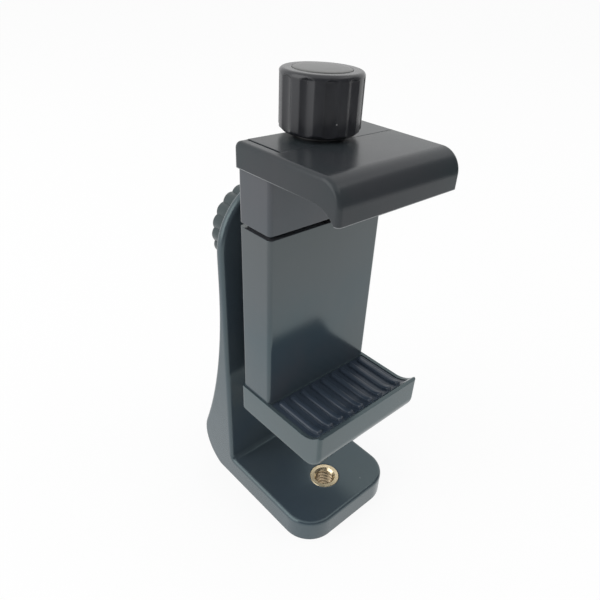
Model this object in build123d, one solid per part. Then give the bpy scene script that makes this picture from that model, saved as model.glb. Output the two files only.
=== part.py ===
from build123d import *
import os
from math import cos, radians, sin, sqrt

# A phone holder for a tripod. An upright L-shaped bracket stands on its foot and
# carries a clamp that turns on a bolt through the top of the arm. The clamp has a
# fixed lower jaw and an upper jaw that a knob and screw raise on two guide rods.
# Millimetres, +Z up, the phone's side faces -Y. The origin is on the axis of the
# tripod thread, at the underside of the foot.

# Foot and arm of the bracket
bracket_width = 35.4
foot_front = 12.1          # tripod thread to the front edge of the foot
foot_thick = 7.2
foot_corner_radius = 8.5   # front corners seen from above
bracket_edge_radius = 1.1  # soft edge all round the foot's top and the arm
arm_thick = 2.6
pivot_height = 76.8        # turning axis of the clamp above the underside
flare_below_pivot = 8.0    # flat back of the arm below the turning axis
flare_radius = 138.0
heel_radius = 12.0
heel_centre_height = 10.3
heel_wall = 2.4            # skin left round the cored heel
heel_rib_thick = 1.8
inner_corner_radius = 1.5  # between foot and arm

# Brass insert in the foot, quarter-inch tripod thread
insert_radius = 4.4
insert_bore_radius = 2.6
insert_mouth_chamfer = 0.6

# Column of the clamp
column_front = 5.4         # tripod thread to the face the phone leans on
column_width = 35.0
column_depth = 10.6
column_length = 45.4
column_wall = 2.0
column_edge_radius = 1.0
guide_block_length = 12.0  # solid top of the column that guides the rods
back_rim = 1.5             # column wall above the back cover
spigot_height = 5.0        # plug of the column inside the lower jaw
spigot_inset = 2.6         # step from the column's faces in to its plug

# Jaws
jaw_step = 0.45            # how far the jaws stand proud of column and sleeve
jaw_front = 14.0           # tripod thread to the outer face of the lips
jaw_below_pivot = 42.8     # turning axis down to the underside of the lower jaw
lower_jaw_height = 8.5     # underside to rim
upper_jaw_height = 5.35    # rim to top face
jaw_outer_radius = 5.0     # rounded outer edge under each lip
jaw_back_radius = 1.5
jaw_edge_radius = 1.0
lip_height = 2.8           # lip beyond the rim
lip_inner_radius = 7.7     # long curve from the rim into each lip
lip_tip = 1.0              # thickness of the lip at its end
pad_rim = 1.05             # plastic left at the pad's ends
pad_front_wall = 2.1       # plastic left in front of the pad
pad_seat_depth = 1.6
core_floor = 2.4           # skin under the cored lower jaw
core_rib_thick = 1.8
core_side_wall = 1.5       # beside the outer bays, measured from the pad's seat
core_end_wall = 2.0        # in front of and behind the bays

# Ribbed rubber pads
pad_gap = 0.1
pad_sheet = 1.4
rib_count = 9
rib_side_margin = 1.43     # sheet left beside the outer ribs
rib_width = 1.7
rib_height = 0.8
rib_end_margin = 0.8
rib_crest_radius = 0.6

# Sliding sleeve under the upper jaw
shadow_gap = 1.0           # dark line between column and sleeve when closed
sleeve_length = 11.8
sleeve_top_wall = 4.0
sleeve_core_wall = 2.0     # between the sleeve's hollow and its rods
sleeve_plug_height = 0.8
stop_rim_inset = 1.3
stop_rim_thick = 1.0
stop_clearance = 0.05
jaw_travel = 26.0

# Cover plate let into the top of the upper jaw
cover_thick = 1.6
cover_side_rim = 2.2       # jaw left at the cover's left end, its right end is open
cover_back_rim = 0.9
cover_front_reach = 0.6    # cover in front of the column's face
cover_gap = 0.15
cover_shadow_gap = 0.6     # wider groove at the cover's left end

# Guide rods and lead screw
rod_radius = 2.0
rod_inset = 6.0            # rod's axis in from the column's side
rod_seat = 10.0            # rod held in the sleeve
rod_end_margin = 1.0       # rod left below its guide when fully open
screw_radius = 2.5
screw_end_margin = 2.0
slide_clearance = 0.06     # radial, rods in the column and screw in its nut
seat_clearance = 0.03      # radial, parts pressed or screwed together
hole_clearance = 0.25      # radial, holes that a screw passes freely
nut_width = 8.0
nut_front_to_back = 6.2
nut_thick = 4.0
nut_depth_below_top = 2.2
clip_radius = 3.9
clip_thick = 0.7
clip_groove_radius = 2.0
clip_play = 0.1
clip_eye_radius = 0.7      # cut-outs that leave the clip its three arms
clip_eye_reach = 0.6       # their centres outside the clip's inner edge

# Hexagon heads and nuts, across the flats
hex_width = 8.0
hex_thick = 3.5
hex_clearance = 0.1

# Small self-tapping screws
tap_radius = 1.1
tap_head_radius = 2.0
tap_head_thick = 1.3
tap_length = 6.0
tap_head_clearance = 0.2
tap_edge = 0.5             # rounding of the head and chamfer of the point
tap_slot_length = 2.2      # cross slot
tap_slot_width = 0.5
tap_slot_depth = 0.6
back_screw_margin = 6.0    # back cover's screws in from the ends of the column's hollow

# Top knob
knob_washer_radius = 5.5
knob_washer_thick = 0.5
top_knob_radius = 8.7
top_knob_height = 12.2
top_collar_radius = 6.5
top_collar_height = 0.5
top_shoulder_radius = 0.9
top_flute_count = 11
top_flute_radius = 3.0
top_flute_depth = 0.5
top_flute_end = 0.6        # below the top face
top_flute_turn = 11.0      # degrees that the first flute stands round from the right
top_cap_radius = 6.1
knob_bottom_chamfer = 0.7
cap_thick = 1.4
cap_groove = 0.15          # fine ring round each cap
cap_dome = 0.25

# Rear knob, washers and swivel
boss_radius = 11.0
boss_length = 6.5
friction_washer_radius = 10.0
friction_washer_thick = 0.8
back_cover_thick = 2.0
back_cover_gap = 0.1
boss_edge_radius = 0.6
rear_washer_radius = 7.0
rear_washer_thick = 1.0
rear_knob_radius = 12.4
rear_knob_length = 9.3
rear_collar_radius = 9.5
rear_collar_length = 1.0
rear_shoulder_radius = 0.8
rear_lobe_count = 20
rear_lobe_radius = 3.2
rear_cap_radius = 8.4
bolt_end_margin = 0.4      # bolt short of the rear cap

# Places worked out from the sizes above, Y towards the back
column_back = column_front + column_depth
column_mid = column_front + column_depth / 2
arm_front = column_back + boss_length + friction_washer_thick
arm_back = arm_front + arm_thick
back_cover_front = column_back - back_cover_thick
jaw_back = column_back + jaw_step
jaw_half_width = column_width / 2 + jaw_step
cavity_half_width = column_width / 2 - column_wall
cavity_front = column_front + column_wall
rear_knob_front = arm_back + rear_washer_thick
lip_start = lip_tip - jaw_front + sqrt(lip_inner_radius**2 - (lip_inner_radius - lip_height) ** 2)
pad_front = pad_front_wall - jaw_front
flare_start = pivot_height - flare_below_pivot

rod_x = column_width / 2 - rod_inset
tap_x = (screw_radius + rod_x - rod_radius) / 2   # small screws, midway between screw and rod

# Heights
lower_jaw_bottom = pivot_height - jaw_below_pivot
lower_rim = lower_jaw_bottom + lower_jaw_height
column_top = lower_rim + column_length
sleeve_bottom = column_top + shadow_gap
upper_rim = sleeve_bottom + sleeve_length
jaw_top = upper_rim + upper_jaw_height
knob_bottom = jaw_top + knob_washer_thick
knob_top = knob_bottom + top_knob_height
block_bottom = column_top - guide_block_length
nut_top = column_top - nut_depth_below_top
nut_bottom = nut_top - nut_thick
screw_end = nut_bottom - jaw_travel - screw_end_margin
rod_end = block_bottom - jaw_travel - rod_end_margin
rod_top = sleeve_bottom + rod_seat
screw_head_bottom = knob_top - cap_thick - hex_thick - cap_groove
clip_top = upper_rim - sleeve_top_wall - clip_play
back_screw_heights = (lower_rim + back_screw_margin, block_bottom - back_screw_margin)


def block(x0, x1, y0, y1, z0, z1):
    """A box between two corners."""
    return Pos((x0 + x1) / 2, (y0 + y1) / 2, (z0 + z1) / 2) * Box(x1 - x0, y1 - y0, z1 - z0)


def upright(radius, z0, z1, x=0.0, y=0.0):
    """A round bar along Z."""
    return Pos(x, y, (z0 + z1) / 2) * Cylinder(radius, z1 - z0)


def lying(radius, y0, y1, x=0.0, z=0.0):
    """A round bar along Y."""
    return Pos(x, (y0 + y1) / 2, z) * Rot(90, 0, 0) * Cylinder(radius, y1 - y0)


def hexagon(width, height):
    """A hexagon bar along Z from the origin up, given across its flats."""
    return extrude(RegularPolygon(width / 2, 6, major_radius=False), amount=height)


def to_rear(shape, y=0.0):
    """Turn a shape built up along Z so that it runs back along Y at the pivot."""
    return Pos(0, y, pivot_height) * Rot(-90, 0, 0) * shape


def upright_edges(shape):
    return shape.edges().filter_by(Axis.Z)


# Bracket
def bracket_side():
    """Side view of foot, arm and rounded heel, with Y across and Z up."""
    flare_y = arm_back + flare_radius
    reach = flare_radius + heel_radius
    rise = flare_start - heel_centre_height
    heel_y = flare_y - sqrt(reach**2 - rise**2)
    blend_y = heel_y + heel_radius * (flare_y - heel_y) / reach
    blend_z = heel_centre_height + heel_radius * rise / reach
    heel_foot = heel_y + sqrt(heel_radius**2 - heel_centre_height**2)
    mid_z = (blend_z + flare_start) / 2
    mid_y = flare_y - sqrt(flare_radius**2 - (flare_start - mid_z) ** 2)
    arm_top = pivot_height + bracket_width / 2
    with BuildSketch(Plane.YZ) as side:
        with BuildLine():
            Polyline((arm_back, flare_start), (arm_back, arm_top), (arm_front, arm_top),
                     (arm_front, foot_thick), (-foot_front, foot_thick), (-foot_front, 0), (heel_foot, 0))
            ThreePointArc((heel_foot, 0), (heel_y + heel_radius, heel_centre_height), (blend_y, blend_z))
            ThreePointArc((blend_y, blend_z), (mid_y, mid_z), (arm_back, flare_start))
        make_face()
    return side.sketch, heel_y


def bracket_rim(body):
    """Edges of the foot's top, of both sides of the arm and of its round head."""
    corner = arm_front - inner_corner_radius
    foot = [e for e in body.edges() if abs(e.center().Z - foot_thick) < 0.01 and e.center().Y < corner - 0.01]
    sides = [e for f in body.faces().filter_by(Axis.X) for e in f.edges()
             if e.center().Y > corner and e.center().Z > 0.5 and abs(e.center().Z - pivot_height) > 0.01]
    head = [e for e in body.edges().filter_by(GeomType.CIRCLE) if e.center().Z > pivot_height + 0.01]
    return foot + sides + head


def heel_core(heel_y):
    """Hollow of the heel, open at the underside, in three bays between ribs."""
    flare_y = arm_back + flare_radius
    inner_heel = heel_radius - heel_wall
    inner_flare = flare_radius + heel_wall
    core_top = flare_start - sqrt(inner_flare**2 - flare_radius**2)
    side = Pos(heel_y, heel_centre_height) * Circle(inner_heel)
    side += Pos((arm_back + heel_y) / 2, core_top / 2) * Rectangle(heel_y - arm_back, core_top)
    side += Pos(heel_y + inner_heel / 2, core_top / 2) * Rectangle(inner_heel, core_top)
    side -= Pos(flare_y, flare_start) * Circle(inner_flare)
    side &= Pos(arm_back + heel_radius, core_top / 2) * Rectangle(2 * heel_radius, core_top)
    half = bracket_width / 2 - heel_wall
    core = extrude(Plane.YZ * side, amount=half, both=True)
    core &= block(-half, half, arm_back, heel_y + inner_heel, -1, core_top - 2)
    for x in (-half / 3, half / 3):
        core -= block(x - heel_rib_thick / 2, x + heel_rib_thick / 2, arm_front, 2 * arm_back, -2, core_top)
    return core


def l_bracket():
    side, heel_y = bracket_side()
    body = extrude(side, amount=bracket_width / 2, both=True)
    front_corners = upright_edges(body).group_by(Axis.Y)[0]
    body = fillet(front_corners, foot_corner_radius)
    outline = Pos(0, pivot_height / 2) * Rectangle(bracket_width, pivot_height)
    outline += Pos(0, pivot_height) * Circle(bracket_width / 2)
    body &= extrude(Plane.XZ * outline, amount=4 * arm_back, both=True)
    corner = body.edges().filter_by(Axis.X).filter_by(
        lambda e: abs(e.center().Y - arm_front) < 0.01 and abs(e.center().Z - foot_thick) < 0.01)
    body = fillet(corner, inner_corner_radius)
    body = fillet(bracket_rim(body), bracket_edge_radius)
    body -= heel_core(heel_y)
    body -= upright(insert_radius + seat_clearance, -1, foot_thick + 1)
    body -= lying(screw_radius + slide_clearance, arm_front - 1, arm_back + 1, z=pivot_height)
    return body


def tripod_insert():
    """Brass bush with the tripod thread's bore, chamfered at the upper mouth."""
    bush = upright(insert_radius, 0, foot_thick) - upright(insert_bore_radius, 0, foot_thick)
    mouths = bush.edges().filter_by(GeomType.CIRCLE).filter_by(lambda e: e.radius < insert_bore_radius + 0.01)
    return chamfer(mouths.sort_by(Axis.Z)[-1], insert_mouth_chamfer)


# Column and what it holds
def rod_places():
    return (-rod_x, rod_x)


def column():
    """Housing open at the back, with a guide block at the top and a plug at the bottom."""
    half = column_width / 2
    body = block(-half, half, column_front, column_back, lower_rim, column_top)
    body = fillet(upright_edges(body), column_edge_radius)
    inside = cavity_half_width
    body -= block(-inside, inside, cavity_front, column_back + 1, lower_rim + column_wall, block_bottom)
    body -= block(-inside, inside, back_cover_front, column_back + 1, block_bottom - 1, column_top - back_rim)
    plug = half - spigot_inset
    body += block(-plug, plug, column_front + spigot_inset, column_back - spigot_inset,
                  lower_rim - spigot_height, lower_rim + 0.5)
    for x in (-tap_x, tap_x):
        for z in back_screw_heights:
            body += lying(2 * tap_radius, cavity_front - 0.5, back_cover_front, x, z)
            body -= lying(tap_radius, back_cover_front - tap_length, back_cover_front, x, z)
    for x in rod_places():
        body -= upright(rod_radius + slide_clearance, block_bottom - 1, column_top + 1, x, column_mid)
    body -= upright(screw_radius + hole_clearance, block_bottom - 1, column_top + 1, 0, column_mid)
    slot, deep = nut_width / 2 + hex_clearance, nut_front_to_back / 2 + hex_clearance
    body -= block(-slot, slot, column_mid - deep, back_cover_front + 1,
                  nut_bottom - hex_clearance, nut_top + hex_clearance)
    for x in (-tap_x, tap_x):
        body -= upright(tap_radius, lower_rim - spigot_height - 1, lower_rim, x, column_mid)
    return body


def lead_nut():
    half, deep = nut_width / 2, nut_front_to_back / 2
    nut = block(-half, half, column_mid - deep, column_mid + deep, nut_bottom, nut_top)
    nut = chamfer(upright_edges(nut), 0.5)
    return nut - upright(screw_radius + slide_clearance, nut_bottom - 1, nut_top + 1, 0, column_mid)


def column_back_cover():
    """Back plate of the column with the round boss that the swivel bolt runs through."""
    half = cavity_half_width - back_cover_gap
    bottom = lower_rim + column_wall + back_cover_gap
    top = column_top - back_rim - back_cover_gap
    plate = block(-half, half, back_cover_front, column_back, bottom, top)
    boss_end = column_back + boss_length
    plate += lying(boss_radius, back_cover_front, boss_end, z=pivot_height)
    front = plate.faces().sort_by(Axis.Y)[-1].outer_wire().edges()
    plate = fillet(front, boss_edge_radius)
    plate &= block(-half, half, back_cover_front, boss_end + 1, bottom, top) + lying(
        boss_radius, column_back, boss_end, z=pivot_height)
    plate -= lying(screw_radius + seat_clearance, back_cover_front - 1, boss_end + 1, z=pivot_height)
    plate -= to_rear(hexagon(hex_width + 2 * hex_clearance, hex_thick + hex_clearance), back_cover_front)
    for x in (-tap_x, tap_x):
        for z in back_screw_heights:
            plate -= lying(tap_radius + hole_clearance, back_cover_front - 1, column_back + 1, x, z)
            plate -= lying(tap_head_radius + tap_head_clearance, column_back - tap_head_thick,
                           column_back + 1, x, z)
    return plate


def tapping_screw():
    """Small pan-head screw along Z, its head's underside at the origin, pointing down."""
    screw = Pos(0, 0, tap_head_thick / 2) * Cylinder(tap_head_radius, tap_head_thick)
    screw = fillet(screw.edges().sort_by(Axis.Z)[-1], tap_edge)
    screw += Pos(0, 0, -tap_length / 2) * Cylinder(tap_radius - seat_clearance, tap_length)
    screw = chamfer(screw.edges().sort_by(Axis.Z)[0], tap_edge)
    slot = Pos(0, 0, tap_head_thick) * Box(tap_slot_length, tap_slot_width, 2 * tap_slot_depth)
    return screw - slot - Rot(0, 0, 90) * slot


def back_screws():
    screws = {}
    for row, z in zip(("lower", "upper"), back_screw_heights):
        for side, x in (("left", -tap_x), ("right", tap_x)):
            screws[f"back_screw_{row}_{side}"] = (
                Pos(x, column_back - tap_head_thick, z) * Rot(-90, 0, 0) * tapping_screw())
    return screws


# Jaws
def lip_side(rim, out, depth, front, back):
    """Side view of the space over a jaw's rim and lip, sunk into the jaw by a depth."""
    floor = rim + out * depth
    top = rim - out * (lip_height + 1)
    mid, height = (floor + top) / 2, abs(top - floor)
    space = Pos(lip_start, rim - out * lip_inner_radius) * Circle(lip_inner_radius + depth)
    space &= Pos((front + lip_start) / 2, mid) * Rectangle(lip_start - front, height)
    return space + Pos((lip_start + back) / 2, mid) * Rectangle(back - lip_start, height)


def jaw_side(rim, outer):
    """Side view of a jaw, its rim towards the phone and its outer face away from it."""
    out = 1 if outer > rim else -1
    tip = rim - out * lip_height
    side = Pos((jaw_back - jaw_front) / 2, (tip + outer) / 2) * Rectangle(jaw_back + jaw_front, abs(outer - tip))
    corners = side.vertices().filter_by(lambda v: abs(v.Y - outer) < 0.01).sort_by(Axis.X)
    side = fillet(corners[0], jaw_outer_radius)
    corners = side.vertices().filter_by(lambda v: abs(v.Y - outer) < 0.01).sort_by(Axis.X)
    side = fillet(corners[-1], jaw_back_radius)
    return side - lip_side(rim, out, 0, lip_tip - jaw_front, jaw_back + 1)


def jaw_blank(rim, outer):
    """A jaw's moulding with softened side edges and the seat for its pad."""
    body = extrude(Plane.YZ * jaw_side(rim, outer), amount=jaw_half_width, both=True)
    out = 1 if outer > rim else -1
    outline = [e for face in body.faces().filter_by(Axis.X) for e in face.edges()]
    outside = [e for e in outline if (e.center().Z - rim) * out > 0.01 or e.center().Y < 0.01 - jaw_front]
    body = fillet(outside, jaw_edge_radius)
    seat = Plane.YZ * lip_side(rim, out, pad_seat_depth, pad_front, column_front - pad_gap)
    return body - extrude(seat, amount=jaw_half_width - pad_rim, both=True)


def pad_band(rim, out, thick):
    """Side view of the pad from its seat up to a thickness."""
    front, back = pad_front + pad_gap, column_front - 2 * pad_gap
    band = lip_side(rim, out, pad_seat_depth, front, back)
    return Plane.YZ * (band - lip_side(rim, out, pad_seat_depth - thick, front - 1, back + 1))


def crest_edges(rib, out):
    """Edges round the crest of a rib, without the seam where it bends into the lip."""
    crest = [face for face in rib.faces() if -out * face.normal_at().Z > 0.7]
    return ShapeList(edge for face in crest for edge in face.edges()).filter_by(Axis.X, reverse=True)


def pad(rim, out):
    """Rubber sheet that bends up into the lip, with round-ended ribs that run front to back."""
    half = jaw_half_width - pad_rim - pad_gap
    front, back = pad_front + pad_gap, column_front - 2 * pad_gap
    body = extrude(pad_band(rim, out, pad_sheet), amount=half, both=True)
    stock = extrude(pad_band(rim, out, pad_sheet + rib_height), amount=half, both=True)
    plan = Rot(0, 0, 90) * SlotOverall(back - front - 2 * rib_end_margin, rib_width)
    pitch = 2 * (half - rib_side_margin - rib_width / 2) / (rib_count - 1)
    for i in range(rib_count):
        x = (i - (rib_count - 1) / 2) * pitch
        rib = stock & extrude(Pos(x, (front + back) / 2, rim) * plan, amount=2 * lip_height, both=True)
        body += fillet(crest_edges(rib, out), rib_crest_radius)
    return body


def lower_jaw():
    body = jaw_blank(lower_rim, lower_jaw_bottom)
    plug = column_width / 2 - spigot_inset + seat_clearance
    body -= block(-plug, plug, column_front + spigot_inset - seat_clearance,
                  column_back - spigot_inset + seat_clearance, lower_rim - spigot_height, lower_rim + 1)
    bay_front, bay_back = pad_front + core_end_wall, column_front - core_end_wall
    bay = (2 * (jaw_half_width - pad_rim - core_side_wall) - 2 * core_rib_thick) / 3
    for i in (-1, 0, 1):
        x = i * (bay + core_rib_thick)
        body -= block(x - bay / 2, x + bay / 2, bay_front, bay_back,
                      lower_jaw_bottom + core_floor, lower_rim)
    for x in (-tap_x, tap_x):
        body -= upright(tap_radius + hole_clearance, lower_jaw_bottom - 1, lower_rim, x, column_mid)
        body -= upright(tap_head_radius + tap_head_clearance, lower_jaw_bottom - 1,
                        lower_jaw_bottom + tap_head_thick, x, column_mid)
    return body


def jaw_screws(name, head, up):
    """Two screws that hold a jaw, their heads' undersides at the given height."""
    turn = Rot(180, 0, 0) if up else Rot(0, 0, 0)
    return {f"{name}_{side}": Pos(x, column_mid, head) * turn * tapping_screw()
            for side, x in (("left", -tap_x), ("right", tap_x))}


def cover_pocket(gap):
    """Plan of the cover, or of its pocket, in the top of the upper jaw."""
    x0 = -jaw_half_width + cover_side_rim + gap * cover_shadow_gap / cover_gap
    return (x0, jaw_half_width, column_front - cover_front_reach + gap, jaw_back - cover_back_rim - gap)


def upper_jaw():
    body = jaw_blank(upper_rim, jaw_top)
    x0, x1, y0, y1 = cover_pocket(0)
    body -= block(x0, x1 + 1, y0, y1, jaw_top - cover_thick, jaw_top + 1)
    plug = column_width / 2 - spigot_inset + seat_clearance
    body -= block(-plug, plug, column_front + spigot_inset - seat_clearance,
                  column_back - spigot_inset + seat_clearance, upper_rim - 1, upper_rim + sleeve_plug_height)
    body -= upright(screw_radius + hole_clearance, upper_rim - 1, jaw_top + 1, 0, column_mid)
    for x in (-tap_x, tap_x):
        body -= upright(tap_radius + hole_clearance, upper_rim - 1, jaw_top, x, column_mid)
        body -= upright(tap_head_radius + tap_head_clearance, jaw_top - cover_thick - tap_head_thick,
                        jaw_top, x, column_mid)
    return body


def top_cover():
    x0, x1, y0, y1 = cover_pocket(cover_gap)
    plate = block(x0, x1, y0, y1, jaw_top - cover_thick, jaw_top)
    plate = fillet(plate.faces().sort_by(Axis.X)[-1].edges().sort_by(Axis.Z)[-1], jaw_edge_radius)
    return plate - upright(screw_radius + hole_clearance, upper_rim, jaw_top + 1, 0, column_mid)


# Sliding sleeve, rods and screw
def upper_sleeve():
    half = column_width / 2
    body = block(-half, half, column_front, column_back, sleeve_bottom, upper_rim)
    body = fillet(upright_edges(body), column_edge_radius)
    plug = half - spigot_inset
    body += block(-plug, plug, column_front + spigot_inset, column_back - spigot_inset,
                  upper_rim - 0.5, upper_rim + sleeve_plug_height)
    rim_bottom = column_top + stop_clearance
    body += stop_rim(rim_bottom, sleeve_bottom + 0.5)
    core = rod_x - rod_radius - sleeve_core_wall
    body -= block(-core, core, cavity_front, column_back - column_wall, rim_bottom - 1,
                  upper_rim - sleeve_top_wall)
    body -= upright(clip_radius + hole_clearance, rim_bottom - 1, upper_rim - sleeve_top_wall, 0, column_mid)
    body -= upright(screw_radius + hole_clearance, sleeve_bottom, jaw_top, 0, column_mid)
    for x in rod_places():
        body -= upright(rod_radius + seat_clearance, rim_bottom - 1, rod_top, x, column_mid)
    for x in (-tap_x, tap_x):
        top = upper_rim + sleeve_plug_height
        body -= upright(tap_radius, top - tap_length, top + 1, x, column_mid)
    return body


def stop_rim(z0, z1):
    """Inset rim that meets the column's top when the jaw is closed."""
    outer, inner = stop_rim_inset, stop_rim_inset + stop_rim_thick
    half = column_width / 2
    rim = block(-half + outer, half - outer, column_front + outer, column_back - outer, z0, z1)
    return rim - block(-half + inner, half - inner, column_front + inner, column_back - inner, z0 - 1, z1 + 1)


def guide_rod(x):
    rod = upright(rod_radius, rod_end, rod_top, x, column_mid)
    return chamfer(rod.edges().filter_by(GeomType.CIRCLE), 0.4)


def lead_screw():
    """Hexagon-head screw that hangs in the knob and runs down through the nut."""
    head = Pos(0, column_mid, screw_head_bottom) * hexagon(hex_width, hex_thick)
    shank = upright(screw_radius, screw_end, screw_head_bottom, 0, column_mid)
    shank = chamfer(shank.edges().sort_by(Axis.Z)[0], 0.6)
    ring = upright(screw_radius + 1, clip_top - clip_thick, clip_top, 0, column_mid)
    ring -= upright(clip_groove_radius, clip_top - clip_thick, clip_top, 0, column_mid)
    return head + shank - ring


def retaining_clip():
    """E-clip in the screw's groove, under the top wall of the sleeve."""
    inner = clip_groove_radius + seat_clearance
    thick = clip_thick - 2 * seat_clearance
    clip = Circle(clip_radius) - Circle(inner) - Pos(0, -clip_radius / 2) * Rectangle(1.6 * inner, clip_radius)
    for turn in (0, 120, 240):
        clip -= Rot(0, 0, turn + 30) * Pos(inner + clip_eye_reach, 0) * Circle(clip_eye_radius)
    return Pos(0, column_mid, clip_top - seat_clearance - thick) * extrude(clip, amount=thick)


# Knobs
def knob_form(radius, length, collar, collar_length, shoulder, chamfer_size):
    """Plain turned form of a knob, standing on its collar at the origin."""
    with BuildSketch(Plane.XZ) as side:
        with BuildLine():
            Polyline((0, length), (0, 0), (collar, 0), (collar, collar_length),
                     (radius - chamfer_size, collar_length), (radius, collar_length + chamfer_size),
                     (radius, length - shoulder))
            RadiusArc((radius, length - shoulder), (radius - shoulder, length), -shoulder)
            Line((radius - shoulder, length), (0, length))
        make_face()
    return revolve(side.sketch, Axis.Z)


def flutes(end):
    """Grooves round the top knob that run out in a low arch at the given height."""
    reach = top_knob_radius + top_flute_radius - top_flute_depth
    groove = upright(top_flute_radius, -1, end, reach)
    groove += Pos(reach, 0, end + 0.5) * Cone(top_flute_radius, top_flute_radius - 1, 1)
    return [Rot(0, 0, top_flute_turn + 360 * i / top_flute_count) * groove for i in range(top_flute_count)]


def lobes():
    """Plan of the rear knob with rounded lobes all round."""
    reach = rear_knob_radius - rear_lobe_radius
    plan = Circle(reach)
    for i in range(rear_lobe_count):
        plan += Rot(0, 0, 360 * i / rear_lobe_count) * Pos(reach, 0) * Circle(rear_lobe_radius)
    return plan


def knob(form, length, cap, pocket):
    """Cut the seat of the cap, the hexagon pocket and the bore."""
    form -= upright(cap + seat_clearance, length - cap_thick, length + 1)
    mouth = form.edges().filter_by(GeomType.CIRCLE).filter_by(lambda e: abs(e.radius - cap) < 0.1)
    form = chamfer(mouth.sort_by(Axis.Z)[-1], cap_groove)
    form -= Pos(0, 0, pocket) * hexagon(hex_width + 2 * hex_clearance, length)
    return form - upright(screw_radius + seat_clearance, -1, length)


def top_knob():
    form = knob_form(top_knob_radius, top_knob_height, top_collar_radius, top_collar_height,
                     top_shoulder_radius, knob_bottom_chamfer)
    for groove in flutes(top_knob_height - top_flute_end - top_flute_depth):
        form -= groove
    pocket = screw_head_bottom - knob_bottom
    return Pos(0, column_mid, knob_bottom) * knob(form, top_knob_height, top_cap_radius, pocket)


def knob_cap(radius):
    """Domed disc pressed into a knob, its rim set back to leave a fine ring groove."""
    disc = Pos(0, 0, cap_thick / 2) * Cylinder(radius, cap_thick)
    ball = (radius**2 + cap_dome**2) / (2 * cap_dome)
    return disc & Pos(0, 0, cap_thick - ball) * Sphere(ball)


def rear_knob():
    """Larger knob behind the arm, its collar towards the washer."""
    form = knob_form(rear_knob_radius, rear_knob_length, rear_collar_radius, rear_collar_length,
                     rear_shoulder_radius, knob_bottom_chamfer)
    form &= extrude(lobes(), amount=rear_knob_length)
    pocket = rear_knob_length - cap_thick - hex_thick - cap_groove
    return to_rear(knob(form, rear_knob_length, rear_cap_radius, pocket), rear_knob_front)


def rear_nut():
    """Hexagon nut let into the rear knob under its cap."""
    nut = hexagon(hex_width, hex_thick) - upright(screw_radius + slide_clearance, -1, hex_thick + 1)
    return to_rear(nut, rear_knob_front + rear_knob_length - cap_thick - hex_thick - cap_groove)


def swivel_bolt():
    """Hexagon-head bolt held in the back cover, on which clamp and rear knob turn."""
    end = rear_knob_front + rear_knob_length - cap_thick - bolt_end_margin
    length = end - back_cover_front - hex_thick
    head = to_rear(hexagon(hex_width, hex_thick), back_cover_front + hex_clearance / 2)
    shank = Pos(0, 0, hex_thick + length / 2 - 0.5) * Cylinder(screw_radius, length + 1 - hex_clearance)
    shank = chamfer(shank.edges().sort_by(Axis.Z)[-1], 0.5)
    return head + to_rear(shank, back_cover_front)


def ring(outer, inner, thick):
    """Flat washer from the origin up."""
    return Pos(0, 0, thick / 2) * (Cylinder(outer, thick) - Cylinder(inner, thick))


def build():
    free = screw_radius + seat_clearance + 0.1
    parts = {
        "l_bracket": l_bracket(),
        "tripod_insert": tripod_insert(),
        "column": column(),
        "column_back_cover": column_back_cover(),
        "lead_nut": lead_nut(),
        "lower_jaw": lower_jaw(),
        "lower_pad": pad(lower_rim, -1),
        "swivel_bolt": swivel_bolt(),
        "friction_washer": to_rear(ring(friction_washer_radius, free, friction_washer_thick),
                                   column_back + boss_length),
        "upper_sleeve": upper_sleeve(),
        "upper_jaw": upper_jaw(),
        "upper_pad": pad(upper_rim, 1),
        "top_cover": top_cover(),
        "guide_rod_left": guide_rod(-rod_x),
        "guide_rod_right": guide_rod(rod_x),
        "lead_screw": lead_screw(),
        "retaining_clip": retaining_clip(),
        "knob_washer": Pos(0, column_mid, jaw_top) * ring(knob_washer_radius, free, knob_washer_thick),
        "top_knob": top_knob(),
        "top_knob_cap": Pos(0, column_mid, knob_top - cap_thick) * knob_cap(top_cap_radius),
        "rear_washer": to_rear(ring(rear_washer_radius, free, rear_washer_thick), arm_back),
        "rear_knob": rear_knob(),
        "rear_nut": rear_nut(),
        "rear_knob_cap": to_rear(knob_cap(rear_cap_radius), rear_knob_front + rear_knob_length - cap_thick),
    }
    parts.update(back_screws())
    parts.update(jaw_screws("lower_jaw_screw", lower_jaw_bottom + tap_head_thick, up=True))
    parts.update(jaw_screws("upper_jaw_screw", jaw_top - cover_thick - tap_head_thick, up=False))
    return parts


os.makedirs("parts", exist_ok=True)
for name, solid in build().items():
    export_step(solid, f"parts/{name}.step")
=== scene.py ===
import math

import bmesh
import bpy
from mathutils import Matrix, Vector


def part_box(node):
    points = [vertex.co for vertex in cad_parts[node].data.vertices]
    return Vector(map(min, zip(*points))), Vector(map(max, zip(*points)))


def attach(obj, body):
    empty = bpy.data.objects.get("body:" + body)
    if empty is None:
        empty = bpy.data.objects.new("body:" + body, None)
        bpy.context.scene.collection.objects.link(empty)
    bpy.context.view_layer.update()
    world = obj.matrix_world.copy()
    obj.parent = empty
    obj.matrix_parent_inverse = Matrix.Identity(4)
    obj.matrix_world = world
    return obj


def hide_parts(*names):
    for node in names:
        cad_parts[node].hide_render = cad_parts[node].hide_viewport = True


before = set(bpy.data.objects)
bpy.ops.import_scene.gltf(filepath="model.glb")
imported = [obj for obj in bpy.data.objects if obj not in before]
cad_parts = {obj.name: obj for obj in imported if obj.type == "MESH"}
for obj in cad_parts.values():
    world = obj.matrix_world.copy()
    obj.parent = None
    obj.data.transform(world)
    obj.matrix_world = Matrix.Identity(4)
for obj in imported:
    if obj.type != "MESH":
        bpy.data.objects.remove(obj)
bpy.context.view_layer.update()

MM = 0.001

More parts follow.
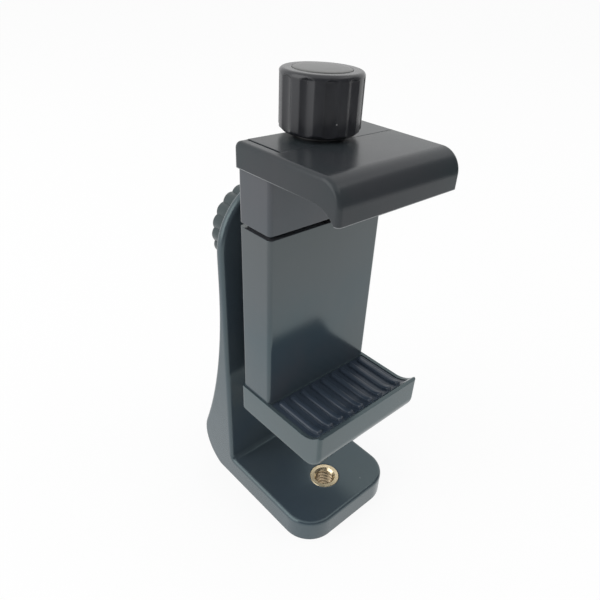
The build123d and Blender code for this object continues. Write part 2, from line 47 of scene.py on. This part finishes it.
# One turn of a thread from below: shares of the pitch, and whether the thread stands out there
thread_shape = ((0.0, False), (0.18, False), (0.46, True), (0.62, True), (0.90, False))

# Lead screw, in millimetres
screw_y = 10.7
screw_radius = 2.5
screw_crest = 2.48
screw_root = 2.0
screw_tip = 1.6
screw_pitch = 2.0
screw_chamfer = 0.6
shank_length = 2.0
shank_widens = (0.3, 0.8)
shank_overlap = 0.5
head_across = 8.0
head_thick = 3.5
head_chamfer = 0.4
groove_radius = 2.0
groove_low = 95.9
groove_high = 96.6
round_columns = 48

# Tripod bush, in millimetres
bush_radius = 4.4
bush_bore = 2.6
bush_thread_root = 3.15
bush_pitch = 1.27
bush_mouth = 0.6
bush_height = 7.2
bush_edge = 0.12
knurl_depth = 0.25
knurl_teeth = 36

# The bush's outside from below: how far it draws in, its height and the depth of its knurl
bush_outside = ((0.3, 0.0, 0), (0, 0.3, 0), (0, 0.9, 0), (0, 1.0, knurl_depth), (0, 2.8, knurl_depth),
                (0, 2.9, 0), (0.4, 3.1, 0), (0.4, 3.9, 0), (0, 4.1, 0), (0, 4.2, knurl_depth),
                (0, 6.0, knurl_depth), (0, 6.1, 0))

# Top knob's cap, in millimetres
cap_radius = 6.1
cap_thick = 1.4
cap_proud = 0.12
cap_crown = 0.16
cap_lower_edge = 0.1
cap_rim_edge = 0.2
cap_rim_middle = 0.06
cap_crown_rings = (0.85, 0.65, 0.45, 0.2)

# Rear knob, in millimetres
rear_radius = 11.9
rear_lobe_radius = 2.5
rear_lobe_count = 20
rear_lobe_points = 8
rear_collar_radius = 9.5
rear_collar_length = 1.0
rear_collar_edge = 0.2
rear_chamfer = 0.6
rear_shoulder = 0.45
rear_cap_seat = 8.43
rear_seat_edge = 0.15
rear_nut_seat = 4.65
rear_nut_low = 4.25
rear_bore = 2.53

# Lower rims of the upper jaw, in metres: height, and the depths between which the painted highlight
# along the rim grows
jaw_rim_highlights = ((0.1007, -0.008, 0.014), (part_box("upper_jaw")[0].z, -0.05, -0.04))
rim_highlight_half = 0.00016

# How a finish is drawn out round a turned piece, along Z or along Y
round_z = (0.05, 0.05, 1)
round_y = (0.05, 1, 0.05)

# Dust, as cells in a metre, the size of a speck in its cell, and how rare the specks are
speck_scale = 650
speck_size = 0.09
speck_rarity = 0.994

teal_gloss = (0.80, 1.0, 0.98)
cool_gloss = (0.94, 0.99, 1.0)
jaw_gloss = (0.98, 1.0, 1.0)
# Colour of the painted reflection that greys the top of the column
reflection_grey = (0.058, 0.055, 0.060)
# Colour of the painted highlight along the upper jaw's lower rims
rim_highlight_grey = (0.34, 0.35, 0.36)
dust_grey = (0.5, 0.51, 0.51)

# Camera: angles in degrees, place in metres, lens in millimetres
camera_azimuth = -45.502
camera_elevation = 35.000
camera_roll = 4.091
camera_place = (-0.081407, -0.073845, 0.136340)
camera_lens = 32.124
camera_shift = (-0.0333, 0.0583)
camera_near = 0.005
object_middle = (0, 0.005, 0.06)


# Shader maths
class Wire:
    """A shader socket that takes part in Python arithmetic."""

    def __init__(self, finish, socket):
        self.finish = finish
        self.socket = socket

    def __abs__(self):
        return self.finish.maths("ABSOLUTE", self)

    def __add__(self, other):
        return self.finish.maths("ADD", self, other)

    def __radd__(self, other):
        return self.finish.maths("ADD", other, self)

    def __sub__(self, other):
        return self.finish.maths("SUBTRACT", self, other)

    def __rsub__(self, other):
        return self.finish.maths("SUBTRACT", other, self)

    def __mul__(self, other):
        return self.finish.maths("MULTIPLY", self, other)

    def __rmul__(self, other):
        return self.finish.maths("MULTIPLY", other, self)

    def __gt__(self, other):
        return self.finish.maths("GREATER_THAN", self, other)

    def __lt__(self, other):
        return self.finish.maths("LESS_THAN", self, other)


class Finish:
    """The nodes of one material, or of the world."""

    def __init__(self, owner):
        self.owner = owner
        owner.use_nodes = True
        self.tree = owner.node_tree
        self.tree.nodes.clear()

    def node(self, kind, settings=None, sockets=None, output=0):
        """Adds a node, sets it up, feeds its sockets and returns one of its outputs."""
        made = self.tree.nodes.new(kind)
        for name, value in (settings or {}).items():
            setattr(made, name, value)
        for name, value in (sockets or {}).items():
            if isinstance(value, Wire):
                self.tree.links.new(value.socket, made.inputs[name])
            else:
                made.inputs[name].default_value = value
        return Wire(self, made.outputs[output]) if made.outputs else None

    def maths(self, operation, *values):
        return self.node("ShaderNodeMath", {"operation": operation}, dict(enumerate(values)))

    def place(self):
        """The point on the piece, in metres."""
        return self.node("ShaderNodeTexCoord", output="Object")

    def stretched(self, place, scale, turn=(0, 0, 0)):
        return self.node("ShaderNodeMapping", {}, {"Vector": place, "Rotation": turn, "Scale": scale})

    def noise(self, place, scale, detail=2.0, roughness=0.5):
        sockets = {"Vector": place, "Scale": scale, "Detail": detail, "Roughness": roughness}
        return self.node("ShaderNodeTexNoise", {}, sockets, "Fac")

    def rise(self, value, low, high):
        """Goes smoothly from 0 to 1 as the value goes from low to high."""
        sockets = {"Value": value, "From Min": low, "From Max": high}
        return self.node("ShaderNodeMapRange", {"interpolation_type": "SMOOTHSTEP"}, sockets)

    def blend(self, share, first, second):
        """Mixes two colours."""
        sockets = {"Factor": share, 6: first, 7: second}
        return self.node("ShaderNodeMix", {"data_type": "RGBA"}, sockets, 2)

    def axis(self, place, name):
        return self.node("ShaderNodeSeparateXYZ", {}, {0: place}, name)

    def rounded_edge(self, radius):
        """A normal that rounds sharp edges, and a mask of the edges that stand out, which the finishes
        use to paint edge highlights.
        """
        rounded = self.node("ShaderNodeBevel", {"samples": 6}, {"Radius": radius})
        flat = self.node("ShaderNodeNewGeometry", output="Normal")
        both = {0: rounded, 1: flat}
        along = self.node("ShaderNodeVectorMath", {"operation": "DOT_PRODUCT"}, both, "Value")
        reach = {"Distance": 2 * radius}
        open_sky = self.node("ShaderNodeAmbientOcclusion", {"samples": 6}, reach, "AO")
        return rounded, self.rise(1 - along, 0.01, 0.14) * self.rise(open_sky, 0.75, 1.0)

    def bump(self, height, distance, normal=None):
        sockets = {"Height": height, "Distance": distance}
        if normal:
            sockets["Normal"] = normal
        return self.node("ShaderNodeBump", {}, sockets)

    def surface(self, sockets):
        """Closes a material with one principled surface."""
        shader = self.node("ShaderNodeBsdfPrincipled", {}, sockets)
        self.node("ShaderNodeOutputMaterial", {}, {"Surface": shader})
        return self.owner


def new_finish(name):
    return Finish(bpy.data.materials.new(name))


def shade(colour, share=1.0):
    return (colour[0] * share, colour[1] * share, colour[2] * share, 1.0)


def dust(finish, place):
    """Rare small specks: 1 on a speck and 0 elsewhere."""
    cells = {"Vector": place, "Scale": speck_scale}
    near = finish.node("ShaderNodeTexVoronoi", {}, cells, "Distance")
    chance = finish.node("ShaderNodeTexVoronoi", {}, cells, "Color")
    drawn = finish.axis(chance, "X")
    return (near < speck_size) * (drawn > speck_rarity)


def rim_highlight_line(finish, place, height, first, last):
    """A thin painted highlight along a lower rim, standing for the floor reflected in its edge, on
    upright sides, stronger from first to last along Y.
    """
    turned = finish.axis(finish.node("ShaderNodeTexCoord", output="Normal"), "Z")
    upright = 1 - finish.rise(abs(turned), 0.3, 0.6)
    above = finish.axis(place, "Z") - height
    stronger = finish.rise(finish.axis(place, "Y"), first, last)
    return upright * stronger * (abs(above) < rim_highlight_half)


# Finishes
def moulded_plastic(name, colour, warmer, roughness, specular=0.5, tint=(1, 1, 1), edge_radius=0.0002,
                    grain_depth=0.000006, painted_rim_highlights=(), reflected_grey_above=None):
    """Satin moulding, cloudy between two tones, with fine grain and handling marks; its paler edges are
    painted highlights, and it can take a painted reflection that greys it towards the top and painted
    highlights along lower rims.
    """
    finish = new_finish(name)
    place = finish.place()
    cloud = finish.noise(place, scale=45, detail=3)
    wiped = finish.stretched(place, (1, 1, 0.2), (0.5, 0.2, 0))
    rubbed = finish.noise(wiped, scale=420, detail=4, roughness=0.6)
    grain = finish.noise(place, scale=5200, detail=1)
    sink = finish.noise(place, scale=55, detail=1)
    rounded, edge_highlight = finish.rounded_edge(edge_radius)
    base = finish.blend(finish.rise(cloud, 0.32, 0.68), shade(colour), shade(warmer))
    base = finish.blend(rubbed * 0.3, base, shade(colour, 0.8))
    # Painted reflection: greyer towards the top, standing for the jaw's underside reflected there.
    if reflected_grey_above:
        reflection_share = finish.rise(finish.axis(place, "Z"), *reflected_grey_above)
        base = finish.blend(reflection_share * 0.8, base, shade(reflection_grey))
    # Painted highlight: convex edges are drawn paler, standing for light caught on their rounding.
    base = finish.blend(edge_highlight * 0.35, base, shade(colour, 1.9))
    # Painted highlight: a thin pale line along each listed lower rim.
    for rim in painted_rim_highlights:
        base = finish.blend(rim_highlight_line(finish, place, *rim) * 0.6, base, shade(rim_highlight_grey))
    base = finish.blend(dust(finish, place) * 0.4, base, shade(dust_grey))
    matt = roughness + (cloud - 0.5) * 0.06 + (rubbed - 0.5) * 0.05
    relief = finish.bump(sink, 0.00012, finish.bump(grain, grain_depth, rounded))
    return finish.surface({"Base Color": base, "Roughness": matt, "Normal": relief, "IOR": 1.5,
                           "Specular IOR Level": specular, "Specular Tint": shade(tint)})


def pad_rubber():
    """Dark soft rubber, with the crests and edges of its ribs drawn paler as painted highlights."""
    finish = new_finish("ribbed_pad_rubber")
    place = finish.place()
    cloud = finish.noise(place, scale=160, detail=3)
    grain = finish.noise(place, scale=4200)
    rounded, edge_highlight = finish.rounded_edge(0.0003)
    base = finish.blend(cloud, shade((0.026, 0.038, 0.056)), shade((0.034, 0.048, 0.069)))
    # Painted highlight: paler crests and edges of the ribs.
    base = finish.blend(edge_highlight * 0.5, base, shade((0.08, 0.11, 0.13)))
    relief = finish.bump(grain, 0.000012, rounded)
    return finish.surface({"Base Color": base, "Roughness": 0.26 + cloud * 0.10, "Normal": relief,
                           "Specular IOR Level": 0.4})


def turned_metal(name, colour, stained, roughness, around):
    """Turned and plated metal: fine rings round its axis and a little staining."""
    finish = new_finish(name)
    place = finish.place()
    rings = finish.noise(finish.stretched(place, around), scale=6500)
    stain = finish.rise(finish.noise(place, scale=420, detail=4, roughness=0.6), 0.48, 0.72)
    base = finish.blend(stain * 0.6, shade(colour), shade(stained))
    matt = roughness + stain * 0.2 + rings * 0.08
    relief = finish.bump(rings, 0.000004)
    return finish.surface({"Base Color": base, "Metallic": 1.0, "Roughness": matt, "Normal": relief})


def bush_brass():
    """Brass that is bright on its face, with painted shade making it darker and browner down the
    threads.
    """
    finish = new_finish("turned_brass")
    place = finish.place()
    # Painted shade: darker and browner below the bush's face, down into the bore.
    bore_shade = 1 - finish.rise(finish.axis(place, "Z"), 0.0052, 0.0070)
    stain = finish.rise(finish.noise(place, scale=700, detail=4, roughness=0.6), 0.42, 0.75)
    rings = finish.noise(finish.stretched(place, round_z), scale=7000)
    base = finish.blend(stain * 0.25, shade((0.80, 0.67, 0.45)), shade((0.56, 0.43, 0.25)))
    base = finish.blend(bore_shade * 0.7, base, shade((0.34, 0.25, 0.16)))
    matt = 0.26 + stain * 0.2
    relief = finish.bump(rings, 0.000005)
    return finish.surface({"Base Color": base, "Metallic": 1.0, "Roughness": matt, "Normal": relief})


def washer_nylon():
    """Waxy black nylon."""
    finish = new_finish("black_nylon")
    place = finish.place()
    cloud = finish.noise(place, scale=300)
    base = finish.blend(cloud, shade((0.030, 0.030, 0.032)), shade((0.045, 0.045, 0.046)))
    relief = finish.bump(finish.noise(place, scale=3500), 0.00001)
    return finish.surface({"Base Color": base, "Roughness": 0.38 + cloud * 0.15, "Normal": relief})


def dress(finish, *nodes):
    """Gives the CAD nodes their finish."""
    for node in nodes:
        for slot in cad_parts[node].material_slots:
            slot.material = finish


# Rings and threads, all about the Z axis and in millimetres
def polar(reach, angle, height):
    return (reach * math.cos(angle), reach * math.sin(angle), height)


def steps_round(columns):
    """Even angles, once round."""
    return [2 * math.pi * column / columns for column in range(columns)]


def add_ring(mesh, radius, height, columns, notch=0.0):
    """A ring of points, every other one drawn in by the notch."""
    return [mesh.verts.new(polar(radius - notch * (column % 2), angle, height))
            for column, angle in enumerate(steps_round(columns))]


def skin(mesh, lower, upper):
    """Joins two rings of points with faces."""
    for column in range(len(lower)):
        after = (column + 1) % len(lower)
        mesh.faces.new((lower[column], lower[after], upper[after], upper[column]))


def skin_all(mesh, rings):
    """Joins each ring to the next."""
    for lower, upper in zip(rings, rings[1:]):
        skin(mesh, lower, upper)


def thread_rows(low, high, foot, crest, pitch):
    """Radius and height of the rows of one thread, before they are wound up."""
    turns = math.ceil((high - low) / pitch) + 2
    return [(crest if raised else foot, low + (turn - 1.5 + share) * pitch)
            for turn in range(turns) for share, raised in thread_shape]


def ring_at(mesh, height, radius, columns):
    """The points of a ring that is already in the mesh, in order round the axis."""
    found = [point for point in mesh.verts
             if abs(point.co.z - height) < 1e-5
             and abs(math.hypot(point.co.x, point.co.y) - radius) < 1e-4]
    found.sort(key=lambda point: math.atan2(point.co.y, point.co.x) % (2 * math.pi - 1e-6))
    return found[:columns]


def add_thread(mesh, low, high, foot, crest, pitch, columns):
    """A wound thread between two heights, closed by a plain ring at each end. Returns those rings."""
    rows = thread_rows(low, high, foot, crest, pitch)
    per_turn = len(thread_shape)
    grid = []
    for radius, height in rows:
        row = []
        for column, angle in enumerate(steps_round(columns)):
            wound = height + pitch * column / columns
            reach = radius if low < wound < high else foot
            row.append(mesh.verts.new(polar(reach, angle, min(max(wound, low), high))))
        grid.append(row)
    for index in range(len(rows) - 1):
        for column in range(columns):
            if column < columns - 1:
                corners = (grid[index][column], grid[index][column + 1],
                           grid[index + 1][column + 1], grid[index + 1][column])
            elif index + per_turn + 1 < len(rows):
                corners = (grid[index][column], grid[index + per_turn][0],
                           grid[index + per_turn + 1][0], grid[index + 1][column])
            else:
                continue
            mesh.faces.new(corners)
    bmesh.ops.remove_doubles(mesh, verts=[point for row in grid for point in row], dist=1e-6)
    return [ring_at(mesh, height, foot, columns) for height in (low, high)]


def add_hexagon(mesh, across, low, high, chamfer):
    """A hexagon head with chamfered corners, as a closed shell."""
    corner = across / math.sqrt(3)
    outline = ((corner - chamfer, low), (corner, low + chamfer / 2), (corner, high - chamfer / 2),
               (corner - chamfer, high))
    rings = [add_ring(mesh, radius, height, 6) for radius, height in outline]
    skin_all(mesh, rings)
    mesh.faces.new(rings[0])
    mesh.faces.new(rings[-1])


def add_object(name, data):
    made = bpy.data.objects.new(name, data)
    bpy.context.scene.collection.objects.link(made)
    return made


def add_piece(name, mesh, place, finish, body, smooth_angle=35):
    """Turns a millimetre mesh into a piece that rides on a body."""
    to_metres = Matrix.Translation(Vector(place) * MM) @ Matrix.Scale(MM, 4)
    bmesh.ops.recalc_face_normals(mesh, faces=mesh.faces)
    bmesh.ops.transform(mesh, matrix=to_metres, verts=mesh.verts)
    data = bpy.data.meshes.new(name)
    mesh.to_mesh(data)
    mesh.free()
    piece = add_object(name, data)
    data.materials.append(finish)
    data.shade_smooth()
    data.set_sharp_from_angle(angle=math.radians(smooth_angle))
    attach(piece, body)
    return piece


# Pieces that stand for plainer CAD nodes
def lead_screw_piece(finish):
    """Lead screw with its thread, clip groove and hexagon head."""
    lowest, highest = (corner.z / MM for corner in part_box("lead_screw"))
    head_low = highest - head_thick
    thread_low = lowest + screw_chamfer
    thread_high = groove_low - shank_length
    mesh = bmesh.new()
    first, last = add_thread(mesh, thread_low, thread_high, screw_root, screw_crest, screw_pitch,
                             round_columns)
    tip = add_ring(mesh, screw_tip, lowest, round_columns)
    shank = ((screw_root, thread_high + shank_widens[0]), (screw_radius, thread_high + shank_widens[1]),
             (screw_radius, groove_low), (groove_radius, groove_low), (groove_radius, groove_high),
             (screw_radius, groove_high), (screw_radius, head_low + shank_overlap))
    rings = [last] + [add_ring(mesh, radius, height, round_columns) for radius, height in shank]
    skin(mesh, tip, first)
    skin_all(mesh, rings)
    mesh.faces.new(tip)
    mesh.faces.new(rings[-1])
    add_hexagon(mesh, head_across, head_low, highest, head_chamfer)
    place = (0, screw_y, 0)
    piece = add_piece("lead_screw_threaded", mesh, place, finish, "top_knob_set")
    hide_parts("lead_screw")


def bush_piece(finish):
    """Knurled brass bush with the tripod thread in its bore."""
    columns = 2 * knurl_teeth
    mesh = bmesh.new()
    lower, upper = add_thread(mesh, 0.0, bush_height - bush_mouth, bush_bore, bush_thread_root,
                              bush_pitch, columns)
    outside = [(bush_radius - inset, height, notch) for inset, height, notch in bush_outside]
    outside += [(bush_radius, bush_height - bush_edge, 0), (bush_radius - bush_edge, bush_height, 0),
                (bush_bore + bush_mouth, bush_height, 0)]
    rings = [add_ring(mesh, radius, height, columns, notch) for radius, height, notch in outside]
    skin_all(mesh, [lower] + rings + [upper])
    piece = add_piece("tripod_bush_threaded", mesh, (0, 0, 0), finish, "bracket")
    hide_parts("tripod_insert")


def knob_cap_piece(finish):
    """Slightly crowned cap that stands a little proud of the top knob."""
    lowest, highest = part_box("top_knob")
    centre = (lowest + highest) / 2 / MM
    low = highest.z / MM - cap_thick
    rim = highest.z / MM + cap_proud
    outline = [(cap_radius - cap_lower_edge, low), (cap_radius, low + cap_lower_edge),
               (cap_radius, rim - cap_rim_edge), (cap_radius - cap_rim_middle, rim - cap_rim_middle),
               (cap_radius - cap_rim_edge, rim)]
    outline += [(cap_radius * share, rim + cap_crown * (1 - share ** 2)) for share in cap_crown_rings]
    mesh = bmesh.new()
    rings = [add_ring(mesh, radius, height, round_columns * 2) for radius, height in outline]
    skin_all(mesh, rings)
    mesh.faces.new(rings[0])
    mesh.faces.new(rings[-1])
    place = (centre.x, centre.y, 0)
    piece = add_piece("top_knob_cap_crowned", mesh, place, finish, "top_knob_set")
    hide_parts("top_knob_cap")


def lobed_reach(angle):
    """How far the rear knob's outline stands out in one direction."""
    pitch = 2 * math.pi / rear_lobe_count
    off = (angle + pitch / 2) % pitch - pitch / 2
    centre = rear_radius - rear_lobe_radius
    return centre * math.cos(off) + math.sqrt(rear_lobe_radius ** 2 - (centre * math.sin(off)) ** 2)


def rear_knob_piece(finish):
    """Rear knob with its deep round lobes, the seats of its nut and cap, and its bore."""
    lowest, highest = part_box("rear_knob")
    length = (highest.y - lowest.y) / MM
    cap_floor = length - cap_thick
    columns = rear_lobe_count * rear_lobe_points
    collar = ((rear_bore, 0), (rear_collar_radius - rear_collar_edge, 0),
              (rear_collar_radius, rear_collar_edge), (rear_collar_radius, rear_collar_length))
    seats = ((rear_cap_seat + rear_seat_edge, length), (rear_cap_seat, length - rear_seat_edge),
             (rear_cap_seat, cap_floor), (rear_nut_seat, cap_floor), (rear_nut_seat, rear_nut_low),
             (rear_bore, rear_nut_low))
    lobes = [(rear_chamfer, rear_collar_length), (0, rear_collar_length + rear_chamfer)]
    for turn in map(math.radians, (0, 30, 60, 90)):
        inset = rear_shoulder * (1 - math.cos(turn))
        lobes.append((inset, length - rear_shoulder * (1 - math.sin(turn))))
    mesh = bmesh.new()
    rings = [add_ring(mesh, radius, height, columns) for radius, height in collar]
    rings += [[mesh.verts.new(polar(lobed_reach(angle) - inset, angle, height))
               for angle in steps_round(columns)] for inset, height in lobes]
    rings += [add_ring(mesh, radius, height, columns) for radius, height in seats]
    skin_all(mesh, rings + rings[:1])
    to_back = Matrix.Rotation(math.radians(-90), 3, "X")
    bmesh.ops.rotate(mesh, verts=mesh.verts, matrix=to_back)
    place = (0, lowest.y / MM, (lowest.z + highest.z) / 2 / MM)
    piece = add_piece("rear_knob_lobed", mesh, place, finish, "rear_knob_set", 30)
    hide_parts("rear_knob")


# Light, floor and camera
def background_seen(finish):
    """1 for rays that come from the camera, a gloss or a clear piece."""
    def ray(name):
        return finish.node("ShaderNodeLightPath", output=name)
    seen = ray("Is Camera Ray") + ray("Is Glossy Ray") + ray("Is Transmission Ray")
    return finish.maths("MINIMUM", seen, 1.0)


def studio_world(soft_light):
    """White where it is seen, and a plain soft light where it only lights."""
    finish = Finish(bpy.data.worlds.new("studio"))
    strength = soft_light + background_seen(finish) * (1 - soft_light)
    light = finish.node("ShaderNodeBackground", {}, {"Color": (1, 1, 1, 1), "Strength": strength})
    finish.node("ShaderNodeOutputWorld", {}, {"Surface": light})
    bpy.context.scene.world = finish.owner


def floor(size, glow):
    """White floor that keeps a faint shadow."""
    finish = new_finish("white_floor")
    paper = finish.node("ShaderNodeBsdfDiffuse", {}, {"Color": (0.98, 0.98, 0.98, 1)})
    white = finish.node("ShaderNodeEmission", {}, {"Color": (1, 1, 1, 1), "Strength": 1.0})
    share = background_seen(finish) * glow
    mixed = finish.node("ShaderNodeMixShader", {}, {0: share, 1: paper, 2: white})
    finish.node("ShaderNodeOutputMaterial", {}, {"Surface": mixed})
    half = size / 2
    corners = [(-half, -half, 0), (half, -half, 0), (half, half, 0), (-half, half, 0)]
    data = bpy.data.meshes.new("floor")
    data.from_pydata(corners, [], [(0, 1, 2, 3)])
    data.materials.append(finish.owner)
    add_object("floor", data)


def dark_screen(first, last, distance, height, folds=20):
    """Dark curved screen on the camera's side of the studio, which only the gloss sees."""
    finish = new_finish("dark_screen")
    cloth = finish.node("ShaderNodeBsdfDiffuse", {}, {"Color": (0.03, 0.03, 0.032, 1)})
    finish.node("ShaderNodeOutputMaterial", {}, {"Surface": cloth})
    mesh = bmesh.new()
    rows = []
    for fold in range(folds + 1):
        angle = math.radians(first + (last - first) * fold / folds)
        x = distance * math.sin(angle)
        y = -distance * math.cos(angle)
        rows.append((mesh.verts.new((x, y, 0)), mesh.verts.new((x, y, height))))
    for before, after in zip(rows, rows[1:]):
        mesh.faces.new((before[0], after[0], after[1], before[1]))
    data = bpy.data.meshes.new("dark_screen")
    mesh.to_mesh(data)
    mesh.free()
    data.materials.append(finish.owner)
    screen = add_object("dark_screen", data)
    screen.visible_camera = False
    screen.visible_diffuse = False
    screen.visible_shadow = False


def softbox(name, place, size, radiance):
    """A square lamp of even brightness, aimed at the middle of the object."""
    lamp = bpy.data.lights.new(name, "AREA")
    lamp.size = size
    lamp.energy = radiance * math.pi * size * size
    aim = Vector(object_middle) - Vector(place)
    holder = add_object(name, lamp)
    holder.location = place
    holder.rotation_euler = aim.to_track_quat("-Z", "Y").to_euler()


def photo_camera():
    """Camera at the photograph's place, close to the object and rolled a little."""
    azimuth = math.radians(camera_azimuth)
    elevation = math.radians(camera_elevation)
    roll = math.radians(camera_roll)
    back = Vector((math.sin(azimuth) * math.cos(elevation), -math.cos(azimuth) * math.cos(elevation),
                   math.sin(elevation)))
    level = Vector((0, 0, 1)).cross(back).normalized()
    upright = back.cross(level)
    right = level * math.cos(roll) + upright * math.sin(roll)
    up = upright * math.cos(roll) - level * math.sin(roll)
    lens = bpy.data.cameras.new("photo_camera")
    lens.sensor_width = 36
    lens.lens = camera_lens
    lens.shift_x, lens.shift_y = camera_shift
    lens.clip_start = camera_near
    camera = add_object("photo_camera", lens)
    turn = Matrix((right, up, back)).transposed().to_4x4()
    camera.matrix_world = Matrix.Translation(camera_place) @ turn
    bpy.context.scene.camera = camera


bracket_finish = moulded_plastic(
    "bracket_plastic", colour=(0.043, 0.060, 0.077), warmer=(0.050, 0.065, 0.077), roughness=0.21,
    specular=0.72, tint=teal_gloss, edge_radius=0.0005)
column_finish = moulded_plastic(
    "column_plastic", colour=(0.034, 0.050, 0.064), warmer=(0.046, 0.053, 0.064), roughness=0.15,
    specular=0.75, tint=teal_gloss, reflected_grey_above=(0.060, 0.088))
lower_jaw_finish = moulded_plastic(
    "lower_jaw_plastic", colour=(0.040, 0.061, 0.073), warmer=(0.048, 0.063, 0.071), roughness=0.16,
    specular=0.72, tint=teal_gloss)
sleeve_finish = moulded_plastic(
    "sleeve_plastic", colour=(0.042, 0.050, 0.060), warmer=(0.053, 0.053, 0.062), roughness=0.17,
    specular=0.65, tint=cool_gloss)
upper_jaw_finish = moulded_plastic(
    "upper_jaw_plastic", colour=(0.028, 0.037, 0.041), warmer=(0.037, 0.039, 0.044), roughness=0.25,
    specular=0.28, tint=jaw_gloss, edge_radius=0.0003, grain_depth=0.000002, painted_rim_highlights=jaw_rim_highlights)
knob_finish = moulded_plastic(
    "knob_plastic", colour=(0.021, 0.022, 0.026), warmer=(0.027, 0.028, 0.031), roughness=0.27,
    edge_radius=0.0005)
rear_knob_finish = moulded_plastic(
    "rear_knob_plastic", colour=(0.030, 0.044, 0.048), warmer=(0.038, 0.046, 0.050), roughness=0.30,
    specular=0.4, tint=teal_gloss)
cap_finish = moulded_plastic(
    "cap_plastic", colour=(0.066, 0.069, 0.067), warmer=(0.076, 0.076, 0.073), roughness=0.34,
    specular=0.65)
plated = turned_metal("plated_steel", (0.62, 0.62, 0.60), (0.40, 0.39, 0.36), 0.24, round_z)
bolt_steel = turned_metal("bolt_steel", (0.60, 0.60, 0.58), (0.38, 0.37, 0.34), 0.28, round_y)
dark_screws = turned_metal("dark_screw_steel", (0.12, 0.12, 0.12), (0.07, 0.065, 0.06), 0.34, round_y)
nut_brass = turned_metal("nut_brass", (0.72, 0.52, 0.24), (0.42, 0.28, 0.12), 0.30, round_z)

dress(bracket_finish, "l_bracket")
dress(column_finish, "column", "column_back_cover")
dress(lower_jaw_finish, "lower_jaw")
dress(sleeve_finish, "upper_sleeve")
dress(upper_jaw_finish, "upper_jaw", "top_cover")
dress(knob_finish, "top_knob")
dress(rear_knob_finish, "rear_knob")
dress(cap_finish, "top_knob_cap", "rear_knob_cap")
dress(pad_rubber(), "lower_pad", "upper_pad")
dress(plated, "guide_rod_left", "guide_rod_right", "retaining_clip", "lead_screw")
dress(bolt_steel, "swivel_bolt", "rear_nut", "rear_washer")
dress(dark_screws, "back_screw_lower_left", "back_screw_lower_right", "back_screw_upper_left",
      "back_screw_upper_right", "lower_jaw_screw_left", "lower_jaw_screw_right", "upper_jaw_screw_left",
      "upper_jaw_screw_right")
dress(nut_brass, "lead_nut", "tripod_insert")
dress(washer_nylon(), "knob_washer", "friction_washer")

bush_piece(bush_brass())
lead_screw_piece(plated)
knob_cap_piece(cap_finish)
rear_knob_piece(rear_knob_finish)

studio_world(soft_light=0.75)
floor(size=40.0, glow=0.88)
dark_screen(first=-80, last=74, distance=0.45, height=0.5)
softbox("left_softbox", place=(-0.85, 0.25, 0.50), size=0.95, radiance=1.75)
softbox("right_softbox", place=(0.60, -0.55, 0.75), size=0.7, radiance=0.8)
photo_camera()
bpy.context.scene.view_settings.view_transform = "Standard"
